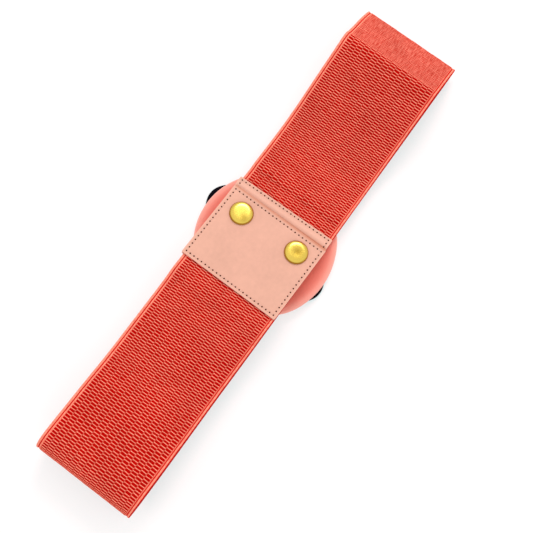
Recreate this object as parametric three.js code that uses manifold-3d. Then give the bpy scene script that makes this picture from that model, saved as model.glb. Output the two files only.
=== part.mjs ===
// A wide elastic stretch belt that lies face down. A ribbed band runs in one loop and is closed at the
// back by a leather flap that snaps onto a leather tab. A round padded medallion is on its front.
// Millimetres. +X runs along the belt, +Y across it and +Z up, from the surface that it lies on.
import * as THREE from "three";
import { mergeVertices } from "three/addons/utils/BufferGeometryUtils.js";
import Module from "manifold-3d";

const wasm = await Module();
wasm.setup();

// Clearance between pieces that touch
const gap = 0.3;

// Elastic band
const bandWidth = 75.3;
const bandThickness = 1.8;
const selvedgeWidth = 2.8;
const selvedgeThickness = 1.2;

// Loop that the band makes as it lies
const halfLength = 190.3;
const bandSide = 0.4;
const loopHeight = 39.3;
const droopLength = 45;

// Leather closure
const flapLength = 60.4;
const tabShown = 8.1;
const tabHidden = 24;
const skinThickness = 1.1;
const flapOverhang = 0.75;
const tabOverhang = 0.75;
const pocketDepth = 11;
const pocketClearance = 0.25;
const pocketRamp = 5;
const closureShift = 1.5;
const closureSlope = THREE.MathUtils.degToRad(7.2);
const closureRise = 1.5;

// Snaps
const capRadius = 8.2;
const capHeight = 2.5;
const capShoulder = 1.5;
const capDish = 0.2;
const capFromEdge = 14.5;
const capFromSide = 15.7;
const sleeveRadius = 2.7;
const postRadius = 1.5;
const studRadius = 5.5;
const studThickness = 1;

// Medallion
const medallionRadius = 49.7;
const medallionThickness = 7;
const medallionFrontRound = 4;
const medallionBackRound = 2.4;
const medallionShift = 7.6;
const medallionSide = -0.9;

// Oval plate on the medallion
const plateOverhang = 2.6;
const plateWidth = 53;
const plateThickness = 3;
const plateRound = 1.1;
const plateTurn = THREE.MathUtils.degToRad(-8.8);
const plateShift = 9.1;

// Fineness of the curved surfaces
const bandSteps = 200;
const medallionSides = 64;
const plateSides = 48;
const capSides = 24;
const roundSteps = 5;

// The top layer from the flap or tab to the end of the loop. toward is the share of that way, and rise is
// the share of the loop's height.
const leftTop = [
  { toward: 0.13, rise: 0.67 },
  { toward: 0.24, rise: 0.645 },
  { toward: 0.36, rise: 0.633 },
  { toward: 0.47, rise: 0.645 },
  { toward: 0.564, rise: 0.703 },
  { toward: 0.641, rise: 0.797 },
  { toward: 0.716, rise: 0.872 },
  { toward: 0.792, rise: 0.93 },
  { toward: 0.869, rise: 0.984 },
  { toward: 0.935, rise: 1 },
  { toward: 0.98, rise: 0.914 },
];
const rightTop = [
  { toward: 0.08, rise: 0.39 },
  { toward: 0.17, rise: 0.349 },
  { toward: 0.27, rise: 0.31 },
  { toward: 0.36, rise: 0.343 },
  { toward: 0.442, rise: 0.44 },
  { toward: 0.523, rise: 0.588 },
  { toward: 0.602, rise: 0.721 },
  { toward: 0.68, rise: 0.861 },
  { toward: 0.747, rise: 0.982 },
  { toward: 0.767, rise: 1 },
  { toward: 0.791, rise: 0.894 },
  { toward: 0.84, rise: 0.77 },
  { toward: 0.91, rise: 0.604 },
  { toward: 0.972, rise: 0.368 },
];

// The fold at each end. reach is the share of half the loop's length.
const leftFold = [
  { reach: 1, rise: 0.76 },
  { reach: 0.995, rise: 0.45 },
  { reach: 0.978, rise: 0.19 },
  { reach: 0.947, rise: 0.045 },
  { reach: 0.9, rise: 0 },
  { reach: 0.75, rise: 0 },
];
const rightFold = [
  { reach: 1, rise: 0.214 },
  { reach: 0.99, rise: 0.09 },
  { reach: 0.955, rise: 0.012 },
  { reach: 0.9, rise: 0 },
  { reach: 0.75, rise: 0 },
];

// How the bottom layer comes down from the medallion. away is the share of the droop, and lift is the
// share of the height at which the band rests on the medallion.
const droop = [
  { away: 1, lift: 0 },
  { away: 0.75, lift: 0.13 },
  { away: 0.5, lift: 0.48 },
  { away: 0.25, lift: 0.84 },
  { away: 0, lift: 1 },
];

// Heights that follow from the sizes
const medallionFront = plateThickness + gap;
const bandRest = medallionFront + medallionThickness + gap;
const thinLeather = 2 * skinThickness;
const thickLeather = 2 * (skinThickness + pocketClearance) + bandThickness;
const tabTop = -(thinLeather + gap);
const pocketMiddle = -thickLeather / 2;
const closureLength = flapLength + tabShown;
const closureLift =
  bandRest +
  bandThickness +
  closureRise +
  (closureLength / 2) * Math.sin(closureSlope) +
  (thickLeather - tabTop) * Math.cos(closureSlope);
const flapLeft = -closureLength / 2;
const flapRight = flapLeft + flapLength;
const tabRight = closureLength / 2;
const capX = flapRight - capFromEdge;
const capY = bandWidth / 2 + flapOverhang - capFromSide;

// Materials
const elastic = new THREE.MeshStandardMaterial({ color: 0xd84b3c, roughness: 0.8, metalness: 0 });
const peachLeather = new THREE.MeshStandardMaterial({ color: 0xf1b89f, roughness: 0.6, metalness: 0 });
const coralLeather = new THREE.MeshStandardMaterial({ color: 0xff8773, roughness: 0.5, metalness: 0 });
const blackGloss = new THREE.MeshStandardMaterial({ color: 0x09070b, roughness: 0.25, metalness: 0 });
const brass = new THREE.MeshStandardMaterial({ color: 0xe9c64e, roughness: 0.25, metalness: 1 });

// A closed geometry as a solid that can be joined and cut
function solidOf(geometry) {
  const bare = geometry.index ? geometry.toNonIndexed() : geometry.clone();
  bare.deleteAttribute("normal");
  bare.deleteAttribute("uv");
  const merged = mergeVertices(bare, 1e-4);
  return new wasm.Manifold(
    new wasm.Mesh({
      numProp: 3,
      vertProperties: merged.attributes.position.array,
      triVerts: new Uint32Array(merged.index.array),
    }),
  );
}

// A solid back as a geometry
function geometryOf(solid) {
  const mesh = solid.getMesh();
  const geometry = new THREE.BufferGeometry();
  geometry.setAttribute("position", new THREE.BufferAttribute(mesh.vertProperties, 3));
  geometry.setIndex(new THREE.BufferAttribute(mesh.triVerts, 1));
  const flat = geometry.toNonIndexed();
  flat.computeVertexNormals();
  return flat;
}

function named(name, geometry, material) {
  const mesh = new THREE.Mesh(geometry, material);
  mesh.name = name;
  return mesh;
}

// A quarter circle in a lathe profile, about (x, y), from one angle to another in right angles
function arcPoints(x, y, radius, from, to) {
  return Array.from({ length: roundSteps + 1 }, (_, i) => {
    const angle = (from + ((to - from) * i) / roundSteps) * (Math.PI / 2);
    return new THREE.Vector2(x + radius * Math.cos(angle), y + radius * Math.sin(angle));
  });
}

// A point of the leather closure, given along its slope and below its top, in the part's frame
function closurePoint(along, below) {
  return new THREE.Vector3(
    closureShift + along * Math.cos(closureSlope) + below * Math.sin(closureSlope),
    0,
    closureLift - along * Math.sin(closureSlope) + below * Math.cos(closureSlope),
  );
}

// The middle height of the band at a share of the loop's height
function heightAt(rise) {
  return bandThickness / 2 + rise * (loopHeight - bandThickness);
}

// The top layer on one side: side is -1 to the left and 1 to the right, and edge is where the leather ends
function topPoints(rows, edge, side) {
  const end = side * (halfLength - bandThickness / 2);
  return rows.map((row) => new THREE.Vector3(edge + (end - edge) * row.toward, 0, heightAt(row.rise)));
}

// The fold at one end of the loop
function foldPoints(rows, side) {
  const reach = side * (halfLength - bandThickness / 2);
  return rows.map((row) => new THREE.Vector3(reach * row.reach, 0, heightAt(row.rise)));
}

// The bottom layer on one side, from the surface up to the medallion's edge
function droopPoints(side) {
  const edge = medallionShift + side * medallionRadius;
  return droop.map(
    (row) =>
      new THREE.Vector3(edge + side * droopLength * row.away, 0, bandThickness / 2 + bandRest * row.lift),
  );
}

// The middle line of the band, from inside the flap round the loop to inside the tab. It lies on the
// surface where the smooth curve through its points would pass below it.
class BandLine extends THREE.Curve {
  constructor() {
    super();
    const flapMouth = closurePoint(flapLeft, pocketMiddle);
    const tabMouth = closurePoint(tabRight, tabTop + pocketMiddle);
    const points = [
      closurePoint(flapLeft + pocketDepth, pocketMiddle),
      flapMouth,
      closurePoint(flapLeft - pocketDepth, pocketMiddle),
      ...topPoints(leftTop, flapMouth.x, -1),
      ...foldPoints(leftFold, -1),
      ...droopPoints(-1),
      new THREE.Vector3(medallionShift, 0, bandRest + bandThickness / 2),
      ...droopPoints(1).reverse(),
      ...foldPoints(rightFold, 1).reverse(),
      ...topPoints(rightTop, tabMouth.x, 1).reverse(),
      closurePoint(tabRight + pocketDepth, tabTop + pocketMiddle),
      tabMouth,
      closurePoint(tabRight - pocketDepth, tabTop + pocketMiddle),
    ];
    this.smooth = new THREE.CatmullRomCurve3(points, false, "centripetal");
    this.arcLengthDivisions = 4 * bandSteps;
  }

  getPoint(share, target = new THREE.Vector3()) {
    this.smooth.getPoint(share, target);
    target.z = Math.max(target.z, bandThickness / 2);
    return target;
  }
}

// The band's section: a thick ribbed middle with a thinner selvedge along each edge
function bandSection() {
  const edge = bandWidth / 2;
  const body = edge - selvedgeWidth;
  const thin = selvedgeThickness / 2;
  const thick = bandThickness / 2;
  const upper = [
    new THREE.Vector2(edge, thin),
    new THREE.Vector2(body, thin),
    new THREE.Vector2(body, thick),
    new THREE.Vector2(-body, thick),
    new THREE.Vector2(-body, thin),
    new THREE.Vector2(-edge, thin),
  ];
  const lower = upper.map((point) => point.clone().negate());
  return new THREE.Shape([...upper, ...lower]);
}

function makeBand() {
  const geometry = new THREE.ExtrudeGeometry(bandSection(), {
    steps: bandSteps,
    extrudePath: new BandLine(),
  });
  return named("elastic_band", geometry, elastic);
}

// One leather piece in the closure's own frame: thick round the band's end, ramped down to thin, and
// extruded across. thickEnd is the end where the band goes in and thinEnd the other one.
function leatherBlank(thickEnd, thinEnd, top, width) {
  const way = Math.sign(thinEnd - thickEnd);
  const rampStart = thickEnd + way * (pocketDepth + skinThickness);
  const outline = new THREE.Shape([
    new THREE.Vector2(thickEnd, top),
    new THREE.Vector2(thickEnd, top - thickLeather),
    new THREE.Vector2(rampStart, top - thickLeather),
    new THREE.Vector2(rampStart + way * pocketRamp, top - thinLeather),
    new THREE.Vector2(thinEnd, top - thinLeather),
    new THREE.Vector2(thinEnd, top),
  ]);
  const geometry = new THREE.ExtrudeGeometry(outline, { depth: width, bevelEnabled: false });
  geometry.rotateX(Math.PI / 2);
  geometry.translate(0, width / 2, 0);
  return solidOf(geometry);
}

// The pocket that takes the band's end, open at the leather's edge
function pocketCut(thickEnd, top) {
  const depth = pocketDepth + gap;
  const height = bandThickness + 2 * pocketClearance;
  const box = new THREE.BoxGeometry(2 * depth, bandWidth + 2 * gap, height);
  box.translate(thickEnd, 0, top + pocketMiddle);
  return solidOf(box);
}

// A hole through the leather for one snap
function snapHole(y, radius) {
  const hole = new THREE.CylinderGeometry(radius, radius, 4 * thickLeather, capSides);
  hole.rotateX(Math.PI / 2);
  hole.translate(capX, y, 0);
  return solidOf(hole);
}

function makeLeather(name, thickEnd, thinEnd, top, overhang, holeRadius) {
  const width = bandWidth + 2 * overhang;
  const blank = leatherBlank(thickEnd, thinEnd, top, width);
  const pocket = pocketCut(thickEnd, top);
  const upperHole = snapHole(capY, holeRadius);
  const lowerHole = snapHole(-capY, holeRadius);
  const cut = blank.subtract(pocket).subtract(upperHole).subtract(lowerHole);
  return named(name, geometryOf(cut), peachLeather);
}

// A snap's cap: a slightly dished top with a rolled shoulder, and a sleeve with a blind bore that goes
// through the flap
function makeCap(name, y) {
  const bore = postRadius + gap;
  const shoulderX = capRadius - capShoulder;
  const profile = [
    new THREE.Vector2(0, gap + capHeight - capDish),
    ...arcPoints(shoulderX, gap + capHeight - capShoulder, capShoulder, 1, 0),
    new THREE.Vector2(capRadius, gap),
    new THREE.Vector2(sleeveRadius, gap),
    new THREE.Vector2(sleeveRadius, -thinLeather),
    new THREE.Vector2(bore, -thinLeather),
    new THREE.Vector2(bore, -gap),
    new THREE.Vector2(0, -gap),
  ];
  const geometry = new THREE.LatheGeometry(profile.reverse(), capSides);
  geometry.rotateX(Math.PI / 2);
  const cap = named(name, geometryOf(solidOf(geometry)), brass);
  cap.position.set(capX, y, 0);
  return cap;
}

// A snap's stud, hidden under the tab: a plate with a post that reaches into the cap's sleeve
function makeStud(name, y) {
  const plateTop = tabTop - thinLeather - gap;
  const profile = [
    new THREE.Vector2(0, plateTop - studThickness),
    new THREE.Vector2(studRadius, plateTop - studThickness),
    new THREE.Vector2(studRadius, plateTop),
    new THREE.Vector2(postRadius, plateTop),
    new THREE.Vector2(postRadius, -2 * gap),
    new THREE.Vector2(0, -2 * gap),
  ];
  const geometry = new THREE.LatheGeometry(profile, capSides);
  geometry.rotateX(Math.PI / 2);
  const stud = named(name, geometryOf(solidOf(geometry)), brass);
  stud.position.set(capX, y, 0);
  return stud;
}

// The leather pieces and the snaps, in the closure's own frame, which slopes down to the right
function makeClosure() {
  const closure = new THREE.Group();
  closure.add(makeLeather("leather_flap", flapLeft, flapRight, 0, flapOverhang, sleeveRadius + gap));
  const tabLeft = flapRight - tabHidden;
  closure.add(makeLeather("leather_tab", tabRight, tabLeft, tabTop, tabOverhang, postRadius + gap));
  closure.add(makeCap("snap_cap_upper", capY));
  closure.add(makeCap("snap_cap_lower", -capY));
  closure.add(makeStud("snap_stud_upper", capY));
  closure.add(makeStud("snap_stud_lower", -capY));
  closure.position.set(closureShift, 0, closureLift);
  closure.rotation.y = closureSlope;
  return closure;
}

// The padded medallion, with a large round at its front edge and a smaller one at its back edge
function makeMedallion() {
  const profile = [
    new THREE.Vector2(0, 0),
    ...arcPoints(medallionRadius - medallionFrontRound, medallionFrontRound, medallionFrontRound, -1, 0),
    ...arcPoints(
      medallionRadius - medallionBackRound,
      medallionThickness - medallionBackRound,
      medallionBackRound,
      0,
      1,
    ),
    new THREE.Vector2(0, medallionThickness),
  ];
  const geometry = new THREE.LatheGeometry(profile, medallionSides);
  geometry.rotateX(Math.PI / 2);
  const medallion = named("medallion", geometryOf(solidOf(geometry)), coralLeather);
  medallion.position.set(medallionShift, medallionSide, medallionFront);
  return medallion;
}

// The oval plate across the medallion's front, with rounded edges
function makePlate() {
  const halfLong = medallionRadius + plateOverhang - plateRound;
  const halfWide = plateWidth / 2 - plateRound;
  const outline = new THREE.Shape(
    new THREE.EllipseCurve(0, 0, halfWide, halfLong).getPoints(plateSides).slice(0, -1),
  );
  const geometry = new THREE.ExtrudeGeometry(outline, {
    depth: plateThickness - 2 * plateRound,
    bevelSize: plateRound,
    bevelThickness: plateRound,
    bevelSegments: 3,
  });
  geometry.translate(0, 0, plateRound);
  const plate = named("oval_plate", geometry, blackGloss);
  plate.rotation.z = plateTurn;
  plate.position.set(plateShift, 0, 0);
  return plate;
}

const loop = new THREE.Group();
loop.add(makeBand());
loop.add(makeClosure());
loop.position.y = bandSide;

const belt = new THREE.Group();
belt.add(loop);
belt.add(makeMedallion());
belt.add(makePlate());

export default belt;
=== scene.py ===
"""Looks for a wide elastic stretch belt that lies face down: ribbed elastic, leather closure, brass
snaps, a padded medallion and a black oval plate. Metres, +X along the belt, +Y across it, +Z up."""

import math

import bpy
import numpy as np
from bpy.props import FloatProperty, FloatVectorProperty, IntProperty, PointerProperty
from mathutils import Matrix, Vector


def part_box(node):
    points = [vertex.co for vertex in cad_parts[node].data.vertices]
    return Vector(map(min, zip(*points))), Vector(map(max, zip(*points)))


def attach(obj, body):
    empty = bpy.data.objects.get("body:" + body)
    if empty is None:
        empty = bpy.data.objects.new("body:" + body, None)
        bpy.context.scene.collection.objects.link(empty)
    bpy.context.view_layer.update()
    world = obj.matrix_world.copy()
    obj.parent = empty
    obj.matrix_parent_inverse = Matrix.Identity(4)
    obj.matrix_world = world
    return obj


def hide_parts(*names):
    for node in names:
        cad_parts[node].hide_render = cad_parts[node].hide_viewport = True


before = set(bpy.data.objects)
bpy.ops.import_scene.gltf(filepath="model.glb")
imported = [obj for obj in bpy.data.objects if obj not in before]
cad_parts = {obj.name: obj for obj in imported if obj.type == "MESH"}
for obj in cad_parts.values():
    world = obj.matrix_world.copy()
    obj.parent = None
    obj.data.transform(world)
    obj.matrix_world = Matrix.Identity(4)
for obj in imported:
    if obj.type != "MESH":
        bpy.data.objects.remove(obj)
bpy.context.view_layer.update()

bl_info = {
    "name": "Elastic stretch belt",
    "version": (1, 0, 0),
    "blender": (4, 5, 0),
    "location": "3D View > Sidebar > Belt",
    "description": "Makes the ribbed elastic, the leather closure and the medallion of a stretch belt",
    "category": "Add Mesh",
}

BODY = "root"
MM = 0.001
PICTURE_SIDE = 533

# Places and sizes that come from the frame
BAND_LOW, BAND_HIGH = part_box("elastic_band")
BAND_WIDTH = BAND_HIGH.y - BAND_LOW.y
BAND_SIDE = (BAND_HIGH.y + BAND_LOW.y) / 2
HALF_LENGTH = (BAND_HIGH.x - BAND_LOW.x) / 2
LOOP_HEIGHT = BAND_HIGH.z
MEDALLION_LOW, MEDALLION_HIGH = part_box("medallion")
MEDALLION_RADIUS = (MEDALLION_HIGH.x - MEDALLION_LOW.x) / 2
MEDALLION_SHIFT = (MEDALLION_HIGH.x + MEDALLION_LOW.x) / 2
MEDALLION_SIDE = (MEDALLION_HIGH.y + MEDALLION_LOW.y) / 2
PLATE_LOW, PLATE_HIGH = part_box("oval_plate")
PLATE_SHIFT = (PLATE_HIGH.x + PLATE_LOW.x) / 2

# Sizes of the band and the closure, as the solids have them
GAP = 0.3 * MM
BAND_THICKNESS = 1.8 * MM
SELVEDGE_WIDTH = 3.05 * MM
DROOP_LENGTH = 45 * MM
FLAP_LENGTH = 60.35 * MM
TAB_SHOWN = 8.5 * MM
TAB_HIDDEN = 24 * MM
SKIN = 1.1 * MM
FLAP_OVERHANG = 0.75 * MM
TAB_OVERHANG = 0.75 * MM
POCKET_DEPTH = 11 * MM
POCKET_CLEARANCE = 0.25 * MM
POCKET_RAMP = 5 * MM
CLOSURE_SHIFT = 1.0 * MM
CLOSURE_RISE = 1.5 * MM
CLOSURE_SLOPE = math.radians(7.2)
CLOSURE_TURN = math.radians(-0.75)
TAB_SIDE = 0.6 * MM
TAB_TURN = math.radians(1.4)
CAP_RADIUS = 8.35 * MM
CAP_HEIGHT = 2.5 * MM
CAP_FROM_EDGE = 14.5 * MM
CAP_FROM_SIDE = 15.7 * MM
SLEEVE_RADIUS = 2.7 * MM
POST_RADIUS = 1.5 * MM
PLATE_LENGTH = 104.6 * MM
PLATE_WIDTH = 53 * MM
PLATE_TURN = math.radians(-8.8)

# Places that follow from those sizes
BAND_REST = MEDALLION_HIGH.z + GAP
THIN_LEATHER = 2 * SKIN
THICK_LEATHER = 2 * (SKIN + POCKET_CLEARANCE) + BAND_THICKNESS
TAB_TOP = -(THIN_LEATHER + GAP)
POCKET_MIDDLE = -THICK_LEATHER / 2
CLOSURE_LENGTH = FLAP_LENGTH + TAB_SHOWN
CLOSURE_LIFT = (
    BAND_REST
    + BAND_THICKNESS
    + CLOSURE_RISE
    + CLOSURE_LENGTH / 2 * math.sin(CLOSURE_SLOPE)
    + (THICK_LEATHER - TAB_TOP) * math.cos(CLOSURE_SLOPE)
)
FLAP_LEFT = -CLOSURE_LENGTH / 2
FLAP_RIGHT = FLAP_LEFT + FLAP_LENGTH
TAB_RIGHT = CLOSURE_LENGTH / 2
TAB_LEFT = FLAP_RIGHT - TAB_HIDDEN
CAP_X = FLAP_RIGHT - CAP_FROM_EDGE
CAP_SIDE = BAND_WIDTH / 2 + FLAP_OVERHANG - CAP_FROM_SIDE

# The top layer from the leather to the end of the loop: share of that way, share of the loop's height
LEFT_TOP = (
    (0.13, 0.67), (0.24, 0.645), (0.36, 0.633), (0.47, 0.645), (0.564, 0.703), (0.641, 0.797),
    (0.716, 0.872), (0.792, 0.93), (0.869, 0.984), (0.935, 1.0), (0.98, 0.914),
)
RIGHT_TOP = (
    (0.08, 0.39), (0.17, 0.349), (0.27, 0.31), (0.36, 0.343), (0.442, 0.44), (0.523, 0.588), (0.602, 0.721),
    (0.68, 0.85), (0.735, 0.95), (0.762, 0.985), (0.783, 0.96), (0.798, 0.875), (0.84, 0.745), (0.91, 0.58),
    (0.972, 0.368),
)
# The fold at each end: share of half the length, share of the loop's height
LEFT_FOLD = ((1.0, 0.76), (0.995, 0.45), (0.978, 0.19), (0.947, 0.045), (0.9, 0.0), (0.75, 0.0))
RIGHT_FOLD = ((1.0, 0.214), (0.99, 0.09), (0.955, 0.012), (0.9, 0.0), (0.75, 0.0))
# How far the band wanders sideways: share of half the length, drift in millimetres
DRIFT = ((-1, 0.35), (-0.8, 0), (-0.5, 0), (-0.3, -0.4), (-0.18, -0.5), (0.24, -0.35), (0.5, 0), (1, 0.25))
# How far an end is out of square: share of half the length, slant
SLANT = ((-1, 0.0185), (-0.3, 0), (0.3, 0), (1, -0.01))
# The bottom layer beside the medallion: share of the droop, share of the height at the medallion
DROOP = ((1.0, 0.0), (0.75, 0.13), (0.5, 0.48), (0.25, 0.84), (0.0, 1.0))
# Rib spacing round the loop: share of the band's length, spacing against the usual one
RIB_SPREAD = (
    (0.0, 0.99), (0.06, 0.99), (0.085, 1.08), (0.115, 0.99), (0.14, 1.1), (0.18, 1.14), (0.2, 1.08),
    (0.215, 0.96), (0.24, 0.9), (0.3, 1.0), (0.7, 1.0), (0.78, 1.15), (0.815, 1.1), (0.84, 0.98),
    (0.885, 0.97), (0.91, 0.92), (0.94, 0.98), (0.96, 1.03), (1.0, 1.03),
)
# Where the stretched yarns close over the gaps: share of the band's length, how far
COVER = ((0.0, 0), (0.222, 0), (0.232, 1), (0.245, 0), (0.75, 0), (0.767, 1), (0.81, 1), (0.818, 0), (1, 0))
# Colours of the yarns where the band is stretched round a fold
STRETCHED_DARK = (0.62, 0.065, 0.04)
STRETCHED_LIGHT = (0.78, 0.19, 0.135)
# Ribs nearer to the middle of the band's length than this share of it are the front's
FRONT_SHARE = 0.235


def length_setting(name, description, default):
    return FloatProperty(name=name, description=description, default=default, unit="LENGTH", precision=5)


def angle_setting(name, description, degrees):
    return FloatProperty(name=name, description=description, default=math.radians(degrees), subtype="ANGLE")


def colour_setting(name, description, default):
    return FloatVectorProperty(name=name, description=description, default=default, subtype="COLOR")


class BandSettings(bpy.types.PropertyGroup):
    """Sizes and colours of the ribbed elastic."""

    rows: IntProperty(name="Rib rows", description="Rows of ribs across the band", default=16, min=4)
    rib_pitch: length_setting("Rib spacing", "Usual distance from rib to rib along the band", 1.94 * MM)
    rib_width: length_setting("Rib width", "Width of a rib along the band", 0.87 * MM)
    rib_height: length_setting("Rib height", "Height of a rib above the web between the ribs", 0.5 * MM)
    # These colours carry painted light as well as dye: the rib colour is also a painted highlight on the tops,
    # and the side and gap colours are also painted shade
    crown: colour_setting("Rib colour", "Colour on top of the ribs and the selvedge cords", (0.96, 0.31, 0.205))
    flank: colour_setting("Rib side colour", "Colour on the sides of the ribs", (0.66, 0.026, 0.017))
    web: colour_setting("Gap colour", "Colour deep between the ribs", (0.47, 0.002, 0.001))


class LeatherSettings(bpy.types.PropertyGroup):
    """Sizes and colours of the leather closure and its stitching."""

    colour: colour_setting("Leather colour", "Colour of the peach leather", (0.72, 0.372, 0.272))
    stitch_pitch: length_setting("Stitch length", "Distance from one needle hole to the next", 3.17 * MM)
    stitch_inset: length_setting("Stitch inset", "Distance of the seam from the leather's edge", 2.35 * MM)
    # The hole colour is painted shade in the needle holes
    hole: colour_setting("Hole colour", "Colour inside the needle holes", (0.07, 0.016, 0.008))
    thread: colour_setting("Thread colour", "Colour of the sewing thread", (0.84, 0.51, 0.40))


class MedallionSettings(bpy.types.PropertyGroup):
    """Colours of the medallion and its oval plate."""

    cover: colour_setting("Cover colour", "Colour of the coral leather cover", (0.82, 0.158, 0.108))
    plate: colour_setting("Plate colour", "Colour of the black oval plate", (0.004, 0.003, 0.006))


class BrassSettings(bpy.types.PropertyGroup):
    """Colour of the snaps."""

    colour: colour_setting("Brass colour", "Colour of the snap caps and studs", (0.77, 0.55, 0.10))


class StageSettings(bpy.types.PropertyGroup):
    """The camera and the light."""

    distance: length_setting("Camera distance", "Distance from the camera to the closure", 0.62)
    lean_along: angle_setting("Lean along the belt", "How far the camera leans from above towards -X", 8.1)
    lean_across: angle_setting("Lean across the belt", "How far the camera leans from above towards -Y", 3.4)
    belt_angle: angle_setting("Belt angle", "Angle of the belt in the picture, from the horizontal", 53.675)
    picture_width: length_setting(
        "Picture width", "Width that the picture takes in at the closure", PICTURE_SIDE * 0.68 * MM
    )


def settings(name):
    """One of the belt's groups of settings in the scene."""
    return getattr(bpy.context.scene, "belt_" + name)


def toward(t, start, stop, a, b):
    """What lies at t where a is at start and b is at stop."""
    return (stop - t) / (stop - start) * a + (t - start) / (stop - start) * b


def smooth_line(points, step):
    """A line through the points, as a centripetal Catmull-Rom curve: each stretch between two points is a
    blend of the straight lines through its four nearest points, with knots spaced by the square root of
    the distance. It is sampled about every step."""
    knots = np.asarray(points, float)
    first = 2 * knots[0] - knots[1]
    last = 2 * knots[-1] - knots[-2]
    padded = np.vstack([first, knots, last])
    made = []
    for near in zip(padded, padded[1:], padded[2:], padded[3:]):
        times = np.cumsum([0, *(np.sqrt(np.linalg.norm(b - a)) for a, b in zip(near, near[1:]))])
        count = max(2, math.ceil(np.linalg.norm(near[2] - near[1]) / step))
        t = np.linspace(times[1], times[2], count, endpoint=False)[:, None]
        straight = [toward(t, times[i], times[i + 1], near[i], near[i + 1]) for i in (0, 1, 2)]
        bent = [toward(t, times[i], times[i + 2], straight[i], straight[i + 1]) for i in (0, 1)]
        made.append(toward(t, times[1], times[2], *bent))
    return np.vstack([*made, knots[-1:]])


def turned(x, y, angle):
    """A point turned about the origin of its plane."""
    sine, cosine = math.sin(angle), math.cos(angle)
    return x * cosine - y * sine, x * sine + y * cosine


def from_closure(along, across, above, turn=CLOSURE_TURN):
    """Points of the closure's own frame in the belt's frame: turned in its plane, turned about Y by the
    slope, then lifted."""
    along, across = turned(along, across, turn)
    sine, cosine = math.sin(CLOSURE_SLOPE), math.cos(CLOSURE_SLOPE)
    x = CLOSURE_SHIFT + along * cosine + above * sine
    z = CLOSURE_LIFT - along * sine + above * cosine
    return np.stack(np.broadcast_arrays(x, across + BAND_SIDE, z), axis=-1)


def from_tab(along, across, above):
    """Points of the tab, which lies a little askew under the flap's edge, in the belt's frame."""
    along, across = turned(along - FLAP_RIGHT, across, TAB_TURN)
    return from_closure(along + FLAP_RIGHT, across + TAB_SIDE, above)


class BandLine:
    """The band's middle line round the loop, and places on the band by length along it, distance across
    it and height out of it. Outwards is the line's direction turned a quarter turn in the XZ plane."""

    def __init__(self, step=0.25 * MM):
        line = smooth_line(self.knots(), step)
        line[:, 1] = np.maximum(line[:, 1], BAND_THICKNESS / 2)
        lengths = np.r_[0, np.cumsum(np.linalg.norm(np.diff(line, axis=0), axis=1))]
        self.length = lengths[-1]
        self.at = np.linspace(0, self.length, math.ceil(self.length / step))
        self.line = np.stack([np.interp(self.at, lengths, line[:, k]) for k in (0, 1)], axis=1)
        way = np.gradient(self.line, self.at, axis=0)
        window = np.hanning(9)
        way = np.stack([np.convolve(np.pad(w, 4, "edge"), window, "valid") for w in way.T], axis=1)
        way /= np.linalg.norm(way, axis=1)[:, None]
        self.out = np.stack([way[:, 1], -way[:, 0]], axis=1)

    @staticmethod
    def knots():
        """The points that the line passes through, as x and z."""
        span = HALF_LENGTH - BAND_THICKNESS / 2
        rise = LOOP_HEIGHT - BAND_THICKNESS
        floor = BAND_THICKNESS / 2

        def mouth(along, above):
            return from_closure(along, 0, above, 0)[[0, 2]]

        def top(rows, edge, side):
            return [(edge + (side * span - edge) * toward, floor + rise * up) for toward, up in rows]

        def fold(rows, side):
            return [(side * span * reach, floor + rise * up) for reach, up in rows]

        def beside(side):
            edge = MEDALLION_SHIFT + side * MEDALLION_RADIUS
            return [(edge + side * DROOP_LENGTH * away, floor + BAND_REST * lift) for away, lift in DROOP]

        flap_mouth = mouth(FLAP_LEFT, POCKET_MIDDLE)
        tab_mouth = mouth(TAB_RIGHT, TAB_TOP + POCKET_MIDDLE)
        return [
            mouth(FLAP_LEFT + POCKET_DEPTH, POCKET_MIDDLE),
            flap_mouth,
            mouth(FLAP_LEFT - POCKET_DEPTH, POCKET_MIDDLE),
            *top(LEFT_TOP, flap_mouth[0], -1),
            *fold(LEFT_FOLD, -1),
            *beside(-1),
            (MEDALLION_SHIFT, BAND_REST + floor),
            *beside(1)[::-1],
            *fold(RIGHT_FOLD, 1)[::-1],
            *top(RIGHT_TOP, tab_mouth[0], 1)[::-1],
            mouth(TAB_RIGHT + POCKET_DEPTH, TAB_TOP + POCKET_MIDDLE),
            tab_mouth,
            mouth(TAB_RIGHT - POCKET_DEPTH, TAB_TOP + POCKET_MIDDLE),
        ]

    def place(self, along, across, out):
        """Points at a length along the line, a distance across and a height out of it, as arrays."""
        along, across, out = np.broadcast_arrays(along, across, out)
        x, z = (np.interp(along, self.at, self.line[:, k]) for k in (0, 1))
        nx, nz = (np.interp(along, self.at, self.out[:, k]) for k in (0, 1))
        drift = np.interp(x / HALF_LENGTH, *np.transpose(DRIFT)) * MM
        slant = np.interp(x / HALF_LENGTH, *np.transpose(SLANT)) * across
        return np.stack([x + nx * out + slant, across + BAND_SIDE + drift, z + nz * out], axis=-1)


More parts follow.
